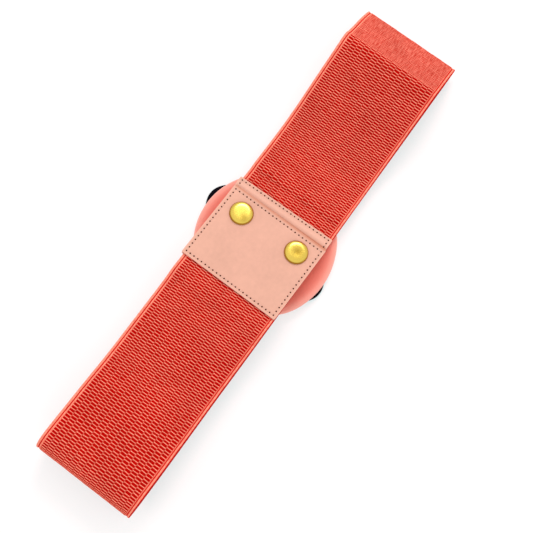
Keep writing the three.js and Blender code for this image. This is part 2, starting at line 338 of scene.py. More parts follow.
def make_mesh(name, points, faces, material, uv=None, values=None):
    """A mesh object from arrays. faces is a list of arrays, each with one face a row. uv has one pair a
    point, and values is a dict of one number a point for each named attribute."""
    points = np.asarray(points, np.float32).reshape(-1, 3)
    mesh = bpy.data.meshes.new(name)
    mesh.vertices.add(len(points))
    mesh.vertices.foreach_set("co", points.ravel())
    corners = np.concatenate([np.asarray(f).ravel() for f in faces]).astype(np.int32)
    totals = np.concatenate([np.full(len(f), np.asarray(f).shape[1]) for f in faces]).astype(np.int32)
    mesh.loops.add(len(corners))
    mesh.loops.foreach_set("vertex_index", corners)
    mesh.polygons.add(len(totals))
    mesh.polygons.foreach_set("loop_start", np.r_[0, np.cumsum(totals)[:-1]].astype(np.int32))
    mesh.polygons.foreach_set("use_smooth", np.ones(len(totals), bool))
    mesh.update(calc_edges=True)
    if uv is not None:
        layer = mesh.uv_layers.new(name="weave")
        layer.data.foreach_set("uv", np.asarray(uv, np.float32).reshape(-1, 2)[corners].ravel())
    for key, value in (values or {}).items():
        attribute = mesh.attributes.new(key, "FLOAT", "POINT")
        attribute.data.foreach_set("value", np.asarray(value, np.float32).ravel())
    mesh.materials.append(material)
    mesh.validate()
    obj = bpy.data.objects.new(name, mesh)
    bpy.context.scene.collection.objects.link(obj)
    return obj


def grid_faces(rows, columns, around_rows=False, around_columns=False):
    """Quads between neighbouring points of a rows by columns grid. A closed direction joins its last
    point to its first."""
    r = np.arange(rows if around_rows else rows - 1)[:, None]
    c = np.arange(columns if around_columns else columns - 1)[None, :]
    r1, c1 = (r + 1) % rows, (c + 1) % columns
    corners = [r * columns + c, r * columns + c1, r1 * columns + c1, r1 * columns + c]
    return np.stack(np.broadcast_arrays(*corners), axis=-1).reshape(-1, 4)


def tube_faces(rows, columns):
    """The sides of a tube of rows of rings, and its two end faces, facing outward."""
    ring = np.arange(columns)
    return [grid_faces(rows, columns, around_columns=True), np.array([ring[::-1], (rows - 1) * columns + ring])]


def repeated(count, size, faces):
    """The faces of a template of that size, renumbered for each of its copies."""
    first = np.arange(count)[:, None, None] * size
    return [(first + part[None]).reshape(-1, part.shape[1]) for part in faces]


def finish_piece(obj, slot, *nodes):
    """Makes a piece ride on the belt's body and hides the solids that it stands for. The finish, slot, is not
    used.
    """
    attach(obj, BODY)
    if nodes:
        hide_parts(*nodes)
    return obj


def steps_of(total, size):
    """How many equal steps, at least two, divide total into about that size."""
    return max(2, round(total / size))


class Nodes:
    """A short way to add and link the nodes of one tree."""

    def __init__(self, tree):
        self.tree = tree

    def add(self, kind, inputs=(), **options):
        """A new node with its options set, and its inputs set to a value or linked to a socket."""
        node = self.tree.nodes.new(kind)
        for key, value in options.items():
            setattr(node, key, value)
        for key, value in dict(inputs).items():
            if isinstance(value, bpy.types.NodeSocket):
                self.link(value, node.inputs[key])
            else:
                node.inputs[key].default_value = value
        return node

    def math(self, operation, a, b=0.0):
        return self.add("ShaderNodeMath", {0: a, 1: b}, operation=operation).outputs[0]

    def mix(self, share, a, b):
        """A colour between a and b, which are sockets or three or four numbers."""
        a, b = (value if isinstance(value, bpy.types.NodeSocket) else (*value, 1.0)[:4] for value in (a, b))
        node = self.add("ShaderNodeMix", data_type="RGBA", inputs={"Factor": share, 6: a, 7: b})
        return node.outputs[2]

    def link(self, value, socket):
        self.tree.links.new(value, socket)

    def remap(self, value, start=0.0, stop=1.0, low=0.0, high=1.0, **options):
        """A value carried from the range start to stop into the range low to high, and held at its ends."""
        inputs = {"Value": value, "From Min": start, "From Max": stop, "To Min": low, "To Max": high}
        return self.add("ShaderNodeMapRange", inputs, **options).outputs[0]

    def noise(self, place, scale, detail=2.0):
        return self.add("ShaderNodeTexNoise", {"Vector": place, "Scale": scale, "Detail": detail}).outputs[0]

    def scaled(self, place, scale):
        return self.add("ShaderNodeMapping", {"Vector": place, "Scale": scale}).outputs[0]

    def place(self):
        return self.add("ShaderNodeTexCoord").outputs["Object"]

    def weave(self):
        """The count of ribs along and rows across."""
        return self.add("ShaderNodeUVMap", uv_map="weave").outputs[0]

    def attribute(self, name):
        return self.add("ShaderNodeAttribute", attribute_name=name).outputs["Fac"]

    def group(self, name, **inputs):
        """A shared group, which is built where it is first used."""
        tree = bpy.data.node_groups.get(name) or GROUPS[name](name)
        return self.add("ShaderNodeGroup", inputs, node_tree=tree)

    def finish(self, shader, colour, height=None, strength=0.0, depth=0.0):
        """Links a colour to the shader, and a height as its bump of that strength and depth."""
        self.link(colour, shader.inputs["Base Color"])
        if height is not None:
            bump = self.add("ShaderNodeBump", {"Height": height, "Strength": strength, "Distance": depth})
            self.link(bump.outputs[0], shader.inputs["Normal"])


def new_group(name, inputs, outputs, output_kind="NodeSocketFloat"):
    """A shader node group with its named sockets. The inputs have their default values, floats or colours."""
    tree = bpy.data.node_groups.new(name, "ShaderNodeTree")
    for socket, value in inputs.items():
        kind = "NodeSocketFloat" if isinstance(value, float) else "NodeSocketColor"
        tree.interface.new_socket(name=socket, in_out="INPUT", socket_type=kind).default_value = value
    for socket in outputs:
        tree.interface.new_socket(name=socket, in_out="OUTPUT", socket_type=output_kind)
    nodes = Nodes(tree)
    return tree, nodes, nodes.add("NodeGroupInput").outputs, nodes.add("NodeGroupOutput").inputs


def mottle_group(name):
    """Uneven colour: a colour pushed darker and lighter by two sizes of noise."""
    inputs = {"Colour": (1, 1, 1, 1), "Amount": 0.1, "Scale": 60.0}
    tree, nodes, given, out = new_group(name, inputs, ["Colour"], "NodeSocketColor")
    place = nodes.place()
    large = nodes.noise(place, given["Scale"], 3.0)
    fine = nodes.noise(place, nodes.math("MULTIPLY", given["Scale"], 9.0))
    both = nodes.math("ADD", large, nodes.math("MULTIPLY", fine, 0.6))
    spread = nodes.math("SUBTRACT", both, 0.8)
    strength = nodes.math("MULTIPLY", given["Amount"], 4.0)
    value = nodes.math("ADD", 1.0, nodes.math("MULTIPLY", spread, strength))
    shaded = nodes.add("ShaderNodeHueSaturation", {"Color": given["Colour"], "Value": value})
    nodes.link(shaded.outputs[0], out[0])
    return tree


def grain_group(name):
    """Leather grain: small cells with soft creases between them, under fine pores."""
    tree, nodes, given, out = new_group(name, {"Scale": 900.0, "Pores": 0.3}, ["Height"])
    place, scale = nodes.place(), given["Scale"]
    bend = nodes.add("ShaderNodeTexNoise", {"Vector": place, "Scale": scale, "Detail": 1.0}).outputs[1]
    push = nodes.add("ShaderNodeVectorMath", {0: bend, "Scale": 0.0004}, operation="SCALE").outputs[0]
    moved = nodes.add("ShaderNodeVectorMath", {0: place, 1: push}, operation="ADD").outputs[0]
    cells = nodes.add("ShaderNodeTexVoronoi", {"Vector": moved, "Scale": scale}, feature="DISTANCE_TO_EDGE")
    crease = nodes.remap(cells.outputs[0], stop=0.25)
    pores = nodes.noise(place, nodes.math("MULTIPLY", scale, 3.0))
    height = nodes.math("ADD", crease, nodes.math("MULTIPLY", pores, given["Pores"]))
    nodes.link(height, out[0])
    return tree


def yarn_group(name):
    """Yarns that run along the band: rounded stripes across it, each with its own brightness, and short
    flecks where a rib's yarns turn over. The weave coordinates count ribs along and rows across."""
    tree, nodes, given, out = new_group(name, {"Yarns": 6.0}, ["Height", "Brightness", "Flecks"])
    weave = nodes.weave()
    rows = nodes.add("ShaderNodeSeparateXYZ", {0: weave}).outputs["Y"]
    count = nodes.math("MULTIPLY", rows, given["Yarns"])
    wave = nodes.math("ABSOLUTE", nodes.math("SINE", nodes.math("MULTIPLY", count, math.pi)))
    uneven = nodes.noise(nodes.scaled(weave, (0.3, 8.0, 1.0)), 1.0)
    flecks = nodes.noise(nodes.scaled(weave, (1.1, 7.0, 1.0)), 1.0, 1.0)
    for value, socket in zip((wave, uneven, flecks), ("Height", "Brightness", "Flecks")):
        nodes.link(value, out[socket])
    return tree


def zigzag_group(name):
    """The low zigzag ridge between two rows of ribs. With p ribs along and r rows across, and b the whole
    number nearest to r, it follows r = b + swing * cos(2 pi p) * cos(pi b), because each row's ribs are
    half a rib behind those of the last."""
    tree, nodes, given, out = new_group(name, {"Swing": 0.08, "Width": 0.15}, ["Height"])
    parts = nodes.add("ShaderNodeSeparateXYZ", {0: nodes.weave()})
    nearest = nodes.math("ROUND", parts.outputs["Y"])
    along = nodes.math("COSINE", nodes.math("MULTIPLY", parts.outputs["X"], 2 * math.pi))
    across = nodes.math("COSINE", nodes.math("MULTIPLY", nearest, math.pi))
    swing = nodes.math("MULTIPLY", nodes.math("MULTIPLY", along, across), given["Swing"])
    away = nodes.math("SUBTRACT", nodes.math("SUBTRACT", parts.outputs["Y"], nearest), swing)
    near = nodes.math("DIVIDE", nodes.math("ABSOLUTE", away), given["Width"])
    nodes.link(nodes.remap(near, low=1.0, high=0.0, interpolation_type="SMOOTHSTEP"), out[0])
    return tree


GROUPS = {
    "Uneven dye": mottle_group,
    "Leather grain": grain_group,
    "Lengthwise yarns": yarn_group,
    "Row zigzag": zigzag_group,
}


def new_material(name, roughness, constants=()):
    """A material with its Principled shader, whose constant sockets are set straight on the shader."""
    material = bpy.data.materials.new(name)
    material.use_nodes = True
    shader = material.node_tree.nodes["Principled BSDF"]
    for key, value in {"Roughness": roughness, **dict(constants)}.items():
        shader.inputs[key].default_value = value
    return material, Nodes(material.node_tree), shader


def colour4(values):
    return (*values, 1.0)


def blend(a, b, share):
    """A colour that is share of b and the rest of a."""
    return [x * (1 - share) + y * share for x, y in zip(a, b)]


def times(values, share):
    return [value * share for value in values]


def elastic_material():
    """Ribs and cords that are light on top, a deep red web with a low zigzag between the rows, and fine
    lengthwise yarns. The colour follows the crown: the light tops and the lighter zigzag are partly the
    yarns' colour and partly painted highlight, the deep red down the sides and in the web partly dye and
    partly painted shade, and the flecks on the tops are painted glints. Where the band is stretched round a
    fold, the yarns cover the web."""
    band = settings("band")
    material, nodes, shader = new_material("Ribbed elastic", 0.7, {"Specular IOR Level": 0.0})
    crown, cover = nodes.attribute("crown"), nodes.attribute("cover")
    yarn = nodes.group("Lengthwise yarns").outputs
    # Painted light: highlight on the rib tops, shade down the sides and in the web, over the yarn's own red
    low = nodes.remap(crown, stop=0.5)
    high = nodes.remap(crown, 0.5, 0.86)
    zigzag = nodes.group("Row zigzag").outputs[0]
    between = nodes.math("MULTIPLY", zigzag, nodes.math("SUBTRACT", 1.0, low))
    sides = nodes.mix(low, band.web, band.flank)
    # The zigzag ridge between the rows is painted lighter, as highlight
    ridged = nodes.mix(nodes.math("MULTIPLY", between, 0.9), sides, blend(band.crown, band.flank, 0.5))
    # Lighter and darker flecks on the tops: painted glints where the yarns turn over
    fleck_highlight = [min(1.0, value * 1.08 + 0.02) for value in band.crown]
    fleck = nodes.remap(yarn["Flecks"], 0.35, 0.65)
    colour = nodes.mix(high, ridged, nodes.mix(fleck, blend(band.crown, band.flank, 0.4), fleck_highlight))
    ragged = nodes.remap(yarn["Flecks"], low=-0.5, high=0.5)
    shut = nodes.math("MULTIPLY", cover, nodes.math("ADD", 0.8, ragged))
    streak = nodes.remap(yarn["Brightness"], 0.4, 0.6)
    closed = nodes.mix(shut, colour, nodes.mix(streak, STRETCHED_DARK, STRETCHED_LIGHT))
    value = nodes.remap(yarn["Brightness"], low=0.75, high=1.25)
    shaded = nodes.add("ShaderNodeHueSaturation", {"Color": closed, "Value": value}).outputs[0]
    dye = nodes.group("Uneven dye", Colour=shaded, Amount=0.06, Scale=45.0)
    relief = nodes.math("ADD", nodes.math("MULTIPLY", yarn["Height"], 0.4), between)
    nodes.finish(shader, dye.outputs[0], relief, strength=0.7, depth=0.22 * MM)
    return material


def inner_material():
    """The inner face of the elastic: the same brick of ribs, low and close, as relief and colour."""
    band = settings("band")
    material, nodes, shader = new_material("Elastic inner face", 0.75, {"Sheen Weight": 0.2})
    bricks = nodes.add(
        "ShaderNodeTexBrick",
        {
            "Vector": nodes.weave(),
            "Scale": 1.0,
            "Mortar Size": 0.06,
            "Mortar Smooth": 1.0,
            "Brick Width": 1.0,
            "Row Height": 1.0,
            "Color1": (1, 1, 1, 1),
            "Color2": (0.85, 0.85, 0.85, 1),
            "Mortar": (0, 0, 0, 1),
        },
    ).outputs[0]
    # Painted shade: the gaps between the bricks are darker
    colour = nodes.mix(bricks, times(band.web, 0.6), times(band.crown, 0.85))
    dye = nodes.group("Uneven dye", Colour=colour, Amount=0.08, Scale=45.0)
    nodes.finish(shader, dye.outputs[0], bricks, strength=0.8, depth=0.25 * MM)
    return material


def leather_material(name, colour, pale, *, roughness, grain_scale, grain_depth, mottle):
    """Dyed leather: uneven dye under a fine grain. Where the edge value is above nought it is paler: along the
    cut edges, partly their own colour and partly painted highlight, and as painted light on ridges and rims.
    Where it is below nought it is browner, as painted shade in creases and beside raised edges.
    """
    constants = {"Specular IOR Level": 0.35, "Sheen Weight": 0.12}
    material, nodes, shader = new_material(name, roughness, constants)
    dye = nodes.group("Uneven dye", Colour=colour4(colour), Amount=mottle, Scale=38.0)
    edge = nodes.attribute("edge")
    # Paler where the edge value is above nought: cut edge colour together with painted highlight
    light = nodes.remap(edge, high=0.6)
    # Browner where it is below nought: painted shade
    painted_shade = nodes.remap(edge, stop=-1.0)
    dark = [value * share for value, share in zip(colour, (0.82, 0.56, 0.43))]
    lit_and_shaded_dye = nodes.mix(painted_shade, nodes.mix(light, dye.outputs[0], pale), dark)
    grain = nodes.group("Leather grain", Scale=grain_scale)
    nodes.finish(shader, lit_and_shaded_dye, grain.outputs[0], strength=0.35, depth=grain_depth)
    return material


def thread_material():
    """Sewing thread: twisted strands as slanted fine ridges, painted darker between them as shade."""
    thread = settings("leather").thread
    material, nodes, shader = new_material("Sewing thread", 0.55)
    inputs = {"Vector": nodes.place(), "Scale": 900.0, "Distortion": 0.5}
    wave = nodes.add("ShaderNodeTexWave", inputs, bands_direction="DIAGONAL").outputs[1]
    # Painted shade between the strands
    strands = nodes.mix(wave, times(thread, 0.7), thread)
    nodes.finish(shader, strands, wave, strength=0.5, depth=0.05 * MM)
    return material


def hole_material():
    """The inside of a needle hole, painted near black as shade, a little uneven."""
    material, nodes, shader = new_material("Needle hole", 0.9, {"Specular IOR Level": 0.0})
    dye = nodes.group("Uneven dye", Colour=colour4(settings("leather").hole), Amount=0.2, Scale=600.0)
    nodes.finish(shader, dye.outputs[0])
    return material


def brass_material():
    """Polished brass that is browner in faint patches of tarnish, darker in its dents, and painted darker at
    the rim as shade, with hairline scratches.
    """
    brass = settings("brass").colour
    material, nodes, shader = new_material("Polished brass", 0.22, {"Metallic": 1.0})
    place = nodes.place()
    patches = nodes.noise(place, 260.0, 3.0)
    uneven = nodes.remap(patches, 0.3, 0.7, low=0.8)
    faint = nodes.remap(patches, 0.45, 0.8, high=0.12)
    # The attribute darkens the dents and paints shade at the rim
    share = nodes.math("MAXIMUM", nodes.math("MULTIPLY", nodes.attribute("painted_rim_shade_and_dent"), uneven), faint)
    darkened_brass = [value * part for value, part in zip(brass, (0.52, 0.46, 0.32))]
    nodes.link(nodes.remap(patches, low=0.16, high=0.3), shader.inputs["Roughness"])
    hairs = nodes.noise(nodes.scaled(place, (6000.0, 260.0, 260.0)), 1.0, 3.0)
    nodes.finish(shader, nodes.mix(share, brass, darkened_brass), hairs, strength=0.05, depth=0.02 * MM)
    return material


def plate_material():
    """Polished black with a faint orange-peel surface and a few duller patches."""
    material, nodes, shader = new_material("Polished black", 0.15, {"Specular IOR Level": 0.04, "IOR": 1.3})
    dye = nodes.group("Uneven dye", Colour=colour4(settings("medallion").plate), Amount=0.15, Scale=70.0)
    patches = nodes.noise(nodes.place(), 90.0, 3.0)
    nodes.link(nodes.remap(patches, low=0.08, high=0.3), shader.inputs["Roughness"])
    nodes.finish(shader, dye.outputs[0], patches, strength=0.1, depth=0.1 * MM)
    return material


def web_section():
    """The band's section without its ribs, as distance across, height out of the middle and crown. The
    outside has a round cord at each edge, a groove and an inner cord, and a low web between them. The
    edge on the side of -Y is rolled down, so its cords lie further in, and its crown is low at the edge
    and under it, which paints shade on that side."""
    half = BAND_WIDTH / 2
    thick = BAND_THICKNESS / 2
    web = 0.18 * MM
    inside = -thick + 0.15 * MM
    # Distance in from the edge and height, both in millimetres, with the crown of the colour
    flat_edge = (
        (0.00, -0.05, 0.4), (0.12, 0.28, 0.78), (0.45, 0.48, 1.0), (0.95, 0.50, 1.0), (1.35, 0.40, 0.88),
        (1.70, 0.10, 0.45), (2.00, -0.05, 0.3), (2.25, 0.05, 0.45), (2.50, 0.35, 0.9), (2.85, 0.50, 1.0),
        (3.15, 0.42, 0.95), (3.4, 0.25, 0.65), (3.65, 0.2, 0.2),
    )
    # Painted shade: this edge's crown is low at its outer side, so that side is darker
    rolled_edge = (
        (0.00, -0.05, 0.12), (0.15, 0.18, 0.22), (0.50, 0.34, 0.42), (0.85, 0.46, 0.92), (1.15, 0.50, 0.98),
        (1.50, 0.44, 0.92), (1.80, 0.22, 0.65), (2.05, 0.02, 0.35), (2.30, -0.02, 0.25), (2.55, 0.20, 0.55),
        (2.85, 0.38, 0.8), (3.10, 0.34, 0.7), (3.35, 0.20, 0.3),
    )
    near = np.array(rolled_edge) * (MM, MM, 1) + (-half, 0, 0)
    far = np.array(flat_edge)[::-1] * (-MM, MM, 1) + (half, 0, 0)
    across = np.linspace(near[-1, 0] + 0.4 * MM, far[0, 0] - 0.4 * MM, 17)
    middle = np.stack([across, np.full_like(across, web), np.zeros_like(across)], axis=1)
    outside = np.vstack([near, middle, far])
    back = [(half - 0.15 * MM, -0.4 * MM), (half - 1.0 * MM, -0.55 * MM), (half - SELVEDGE_WIDTH, inside)]
    back = np.array(back)
    plain = np.linspace(half - 1.3 * SELVEDGE_WIDTH, -half + 1.3 * SELVEDGE_WIDTH, 9)
    under = np.vstack([back, np.stack([plain, np.full_like(plain, inside)], axis=1), back[::-1] * (-1, 1)])
    # The last two points, under the edge on the side of -Y, have a low crown as painted shade
    crown = np.r_[np.full(len(under) - 2, 0.8), 0.3, 0.12]
    return np.vstack([outside, np.column_stack([under, crown])]), len(outside)


def cover_at(line, along):
    """How far the yarns cover the web at a length along the line."""
    return np.interp(along / line.length, *np.transpose(COVER))


def make_web(line):
    """The band without its ribs: its section carried along the line, closed at both ends."""
    band = settings("band")
    section, outside = web_section()
    stations = np.linspace(0, line.length, steps_of(line.length, 1.6 * MM))
    across, out, crown = section.T
    points = line.place(stations[:, None], across[None, :], out[None, :])
    rows, columns = len(stations), len(section)
    faces = [part[:, ::-1] for part in tube_faces(rows, columns)]
    counted, _, row_width = rib_count(line, band.rib_pitch, band.rows)
    rib = np.interp(stations, line.at, counted)
    uv = np.stack(np.broadcast_arrays(rib[:, None], across[None, :] / row_width + band.rows / 2), axis=-1)
    between = np.abs(across) < BAND_WIDTH / 2 - 1.05 * SELVEDGE_WIDTH
    cover = cover_at(line, stations)[:, None] * between[None, :]
    values = {"crown": np.broadcast_to(crown, (rows, columns)), "cover": cover}
    web = make_mesh("elastic_web", points, faces, elastic_material(), uv, values)
    web.data.materials.append(inner_material())
    column = np.tile(np.arange(columns), rows - 1)
    material_of = np.r_[((column >= outside + 2) & (column < columns - 3)).astype(np.int32), 0, 0]
    web.data.polygons.foreach_set("material_index", material_of.astype(np.int32))
    return web


def rib_template():
    """One rib: a rounded ridge that lies across the band, as a ring of points carried from one side of
    its row to the other and drawn down at both ends. Columns are along, across and height, each a share."""
    right = [(0.5, -0.3), (0.45, 0.25), (0.28, 0.82), (0, 1.0)]
    ring = np.array([(-0.5, -0.3), *right, (-0.28, 0.82), (-0.45, 0.25)])
    stations = np.array([(-0.52, 0.85, 0.6), (-0.4, 1.0, 1.0), (0.4, 1.0, 1.0), (0.52, 0.85, 0.6)])
    along = stations[:, 1, None] * ring[None, :, 0]
    height = np.where(ring[None, :, 1] > 0, stations[:, 2, None], 1) * ring[None, :, 1]
    across = np.broadcast_to(stations[:, 0, None], along.shape)
    return np.stack([along, across, height], axis=-1).reshape(-1, 3), tube_faces(*along.shape)


def rib_count(line, pitch, rows):
    """How many ribs there are up to each point of the line, by the length over the local spacing, with
    the spacing there and the width of a row."""
    spacing = pitch * np.interp(line.at / line.length, *np.transpose(RIB_SPREAD))
    counted = np.r_[0, np.cumsum(np.diff(line.at) / spacing[1:])]
    return counted, spacing, (BAND_WIDTH - 2 * SELVEDGE_WIDTH) / rows


def make_ribs(line):
    """All the ribs of the outside, as two joined meshes: those of the back and those of the front. Every
    second row is half a rib behind."""
    band = settings("band")
    counted, spacing, row_width = rib_count(line, band.rib_pitch, band.rows)
    row = np.arange(band.rows)
    number = np.arange(1, int(counted[-1]) - 1)[None, :] + 0.5 * (row % 2)[:, None]
    row = np.broadcast_to(row[:, None], number.shape).ravel()
    number = number.ravel()
    along = np.interp(number, counted, line.at)
    random = np.random.default_rng(7)
    points, template = rib_template()
    low, high = 0.08 * MM, 0.2 * MM + band.rib_height
    material = elastic_material()
    front = np.abs(along - line.length / 2) < FRONT_SHARE * line.length
    made = []
    for name, chosen in (("elastic_ribs_back", ~front), ("elastic_ribs_front", front)):
        count = int(chosen.sum())
        jitter = random.normal(0, 1, (4, count, 1))
        uneven = 1 + 0.3 * random.normal(0, 1, (count, 1))
        cover = np.clip(cover_at(line, along[chosen])[:, None] * uneven, 0, 1)
        width = band.rib_width * (1 + 0.07 * jitter[0])
        height = (high - low) * (1 + 0.06 * jitter[1]) * (1 - 0.35 * cover)
        lean = band.rib_pitch * (0.07 * jitter[2] + 0.22 * jitter[3] * points[None, :, 1])
        shift = points[None, :, 0] * width + lean * points[None, :, 1]
        s = along[chosen, None] + shift
        r = row[chosen, None] + 0.5 + points[None, :, 1]
        y = (r - band.rows / 2) * row_width
        n = low + points[None, :, 2] * height
        faces = repeated(count, len(points), template)
        p = number[chosen, None] + shift / np.interp(along[chosen], line.at, spacing)[:, None]
        # The crown follows the height in the rib: painted highlight on the top, painted shade down its sides
        crown = np.broadcast_to(np.clip(points[None, :, 2], 0, 1), s.shape)
        values = {"crown": crown, "cover": np.broadcast_to(cover, s.shape)}
        made.append(make_mesh(name, line.place(s, y, n), faces, material, np.stack([p, r], axis=-1), values))
    return made


def graded(half, step, edge_steps=(0.0, 0.1 * MM, 0.28 * MM, 0.55 * MM)):
    """Places from -half to half about step apart, with closer ones at both edges."""
    edges = np.array(edge_steps)
    inner = np.linspace(-half + edges[-1] + step, half - edges[-1] - step, steps_of(2 * half, step))
    return np.r_[-half + edges, inner, (half - edges)[::-1]]


def seam_corners(low, high, inset, right_inset):
    """The corners of a seam inside a rectangle, in order round it."""
    (x0, y0), (x1, y1) = low, high
    x0, x1, y0, y1 = x0 + inset, x1 - right_inset, y0 + inset, y1 - inset
    return np.array([(x0, y0), (x1, y0), (x1, y1), (x0, y1)])


def seam_holes(corners, pitch, closed):
    """Needle holes along straight sides from corner to corner, evenly spaced about a pitch apart."""
    ends = np.roll(corners, -1, axis=0) if closed else corners[1:]
    sides = []
    for a, b in zip(corners, ends):
        count = steps_of(np.linalg.norm(b - a), pitch)
        share = np.arange(count)[:, None] / count
        sides.append(a + (b - a) * share)
    return np.vstack([*sides, corners[:1] if closed else corners[-1:]])


def seam_relief(x, y, holes, groove, pit):
    """How far a seam pulls the leather down: a soft groove along it and a pit at each hole, both as bell
    curves of the distance."""
    spots = np.stack([x.ravel(), y.ravel()], axis=1)
    near_line = np.full(len(spots), np.inf)
    for a, b in zip(holes, holes[1:]):
        way = b - a
        share = np.clip((spots - a) @ way / (way @ way), 0, 1)
        near_line = np.minimum(near_line, np.linalg.norm(spots - a - share[:, None] * way, axis=1))
    near_hole = np.full(len(spots), np.inf)
    for hole in holes:
        near_hole = np.minimum(near_hole, np.linalg.norm(spots - hole, axis=1))
    sunk = groove * np.exp(-((near_line / (0.75 * MM)) ** 2)) + pit * np.exp(-((near_hole / (0.55 * MM)) ** 2))
    return sunk.reshape(x.shape)


def rounded_outline(x, y, low, high, radius):
    """Draws the points of a rectangle's corners in onto a quarter circle of that radius."""
    middle = (np.array(low) + high) / 2
    half = (np.array(high) - low) / 2
    dx, dy = x - middle[0], y - middle[1]
    over_x = np.maximum(np.abs(dx) - (half[0] - radius), 0)
    over_y = np.maximum(np.abs(dy) - (half[1] - radius), 0)
    square = np.maximum(over_x, over_y)
    length = np.hypot(over_x, over_y)
    shrink = np.where(length > 0, square / np.maximum(length, 1e-12), 1)
    x = middle[0] + np.sign(dx) * (np.abs(dx) - over_x + over_x * shrink)
    y = middle[1] + np.sign(dy) * (np.abs(dy) - over_y + over_y * shrink)
    return x, y


def leather_skin(low, high, top, bottom, sunk, painted_light_and_shade, step):
    """One skin of leather as points and faces in the closure's frame: two sheets over the same grid,
    joined round the rim, whose rims are rounded as quarter circles. top, bottom and sunk are functions
    of x and y that give the heights of the two faces and how far a seam pulls them in. The light and
    shade function of x paints shade where it is below nought and light where it is above, and the cut
    edge is paler, partly its own colour and partly a painted highlight."""
    middle = (np.array(low) + high) / 2
    half = (np.array(high) - low) / 2
    gx, gy = graded(half[0], step), graded(half[1], step)
    x, y = np.meshgrid(gx + middle[0], gy + middle[1], indexing="ij")
    inward = np.minimum(half[0] - np.abs(x - middle[0]), half[1] - np.abs(y - middle[1]))
    x, y = rounded_outline(x, y, low, high, 0.6 * MM)
    rim = 0.42 * MM
    reach = np.clip(inward / rim, 0, 1)
    drop = rim * (1 - np.sqrt(1 - (1 - reach) ** 2))
    upper = top(x, y) - drop - sunk(x, y)
    lower = bottom(x, y) + drop
    rows, columns = x.shape
    points = np.concatenate([np.stack([x, y, z], -1).reshape(-1, 3) for z in (upper, lower)])
    sheet = grid_faces(rows, columns)
    count = rows * columns
    order = np.arange(count).reshape(rows, columns)
    rim_line = np.r_[order[:-1, 0], order[-1, :-1], order[:0:-1, -1], order[0, :0:-1]]
    after = np.roll(rim_line, -1)
    wall = np.stack([rim_line, after, after + count, rim_line + count], axis=1)
    # Pale cut edge, partly its own colour and partly painted highlight, plus the painted light and shade along
    # x
    edge = np.tile((np.exp(-((inward / (0.6 * MM)) ** 2)) + painted_light_and_shade(x)).ravel(), 2)
    return points, [sheet[:, ::-1], sheet + count, wall], edge


def joined(parts):
    """Several (points, faces, values) joined into one, with the faces renumbered."""
    points, faces, values, start = [], [], [], 0
    for part_points, part_faces, value in parts:
        points.append(part_points)
        faces += [np.asarray(f) + start for f in part_faces]
        values.append(value)
        start += len(part_points)
    return np.concatenate(points), faces, np.concatenate(values)


def seam_pieces(name, holes, height, leather_down, place):
    """A seam's threads and its needle holes. A thread is a round tube from hole to hole that rises as
    half a sine between them; a hole is a shallow dish painted dark as the shade in the hole."""
    thread_radius = 0.27 * MM
    inset = 0.42 * MM
    a, b = holes[:-1], holes[1:]
    way = b - a
    length = np.linalg.norm(way, axis=1)
    unit = way / length[:, None]
    side = np.stack([-unit[:, 1], unit[:, 0]], axis=1)
    share = np.linspace(0, 1, 9)
    rise = -0.62 * MM + 0.78 * MM * np.sin(np.pi * share) ** 0.55
    angle = np.arange(8) * np.pi / 4
    ring_side = thread_radius * np.cos(angle)
    ring_up = thread_radius * 0.8 * np.sin(angle)
    span = (length - 2 * inset)[:, None]
    path = a[:, None, :] + unit[:, None, :] * (inset + span * share[None, :])[..., None]
    path = np.broadcast_to(path[:, :, None, :], (len(a), len(share), len(angle), 2))
    flat = path + side[:, None, None, :] * ring_side[None, None, :, None]
    ground = height(flat[..., 0], flat[..., 1]) - leather_down
    up = ground + rise[None, :, None] + ring_up[None, None, :]
    threads = place(flat[..., 0], flat[..., 1], up)
    faces = repeated(len(a), len(share) * len(angle), tube_faces(len(share), len(angle)))
    thread = make_mesh(name + "_thread", threads, faces, thread_material())

    turn = np.arange(10) * 2 * np.pi / 10
    rings = np.array([(0.56, 0.02), (0.46, 0.05), (0.2, -0.02)]) * MM
    cx, cy = holes[:-1, 0][:, None, None], holes[:-1, 1][:, None, None]
    hx = cx + rings[None, :, 0, None] * np.cos(turn)
    hy = cy + rings[None, :, 0, None] * np.sin(turn)
    hz = height(hx, hy) - leather_down + rings[None, :, 1, None] - 0.07 * MM
    base_z = height(hx[:, :1], hy[:, :1]) - leather_down - 0.3 * MM
    hx, hy = np.concatenate([hx[:, :1], hx], axis=1), np.concatenate([hy[:, :1], hy], axis=1)
    hz = np.concatenate([base_z, hz], axis=1)
    rows, columns = len(rings) + 1, len(turn)
    faces = repeated(len(hx), rows * columns, tube_faces(rows, columns))
    dots = make_mesh(name + "_holes", place(hx, hy, hz), faces, hole_material())
    return thread, dots


def leather_top(x, y):
    """The upper face of the flap: flat, with a very slow swell as leather has."""
    swell = np.sin(x / (17 * MM) + 0.6) * np.cos(y / (23 * MM) - 0.4) + np.sin((x + y) / (11 * MM)) * 0.4
    near_caps = sum(
        np.exp(-(((x - CAP_X) ** 2 + (y - side * CAP_SIDE) ** 2) / (9.4 * MM) ** 2) ** 2) for side in (-1, 1)
    )
    return 0.06 * MM * swell - 0.12 * MM * near_caps


def flap_painted_shade(x):
    """The flap's edge over the tab is painted browner, as shade."""
    return -1.6 * np.exp(-(((x - FLAP_RIGHT) / (1.1 * MM)) ** 2))


def tab_top(x, y):
    """The upper face of the tab: a dip beside the flap's edge, then a ridge before the seam."""
    away = (x - FLAP_RIGHT) / MM
    dip = -0.25 * np.exp(-((away / 0.9) ** 2))
    ridge = 0.3 * np.exp(-(((away - 3.4) / 1.7) ** 2))
    return TAB_TOP + (dip + ridge + 0.05 * np.sin(y / (13 * MM))) * MM


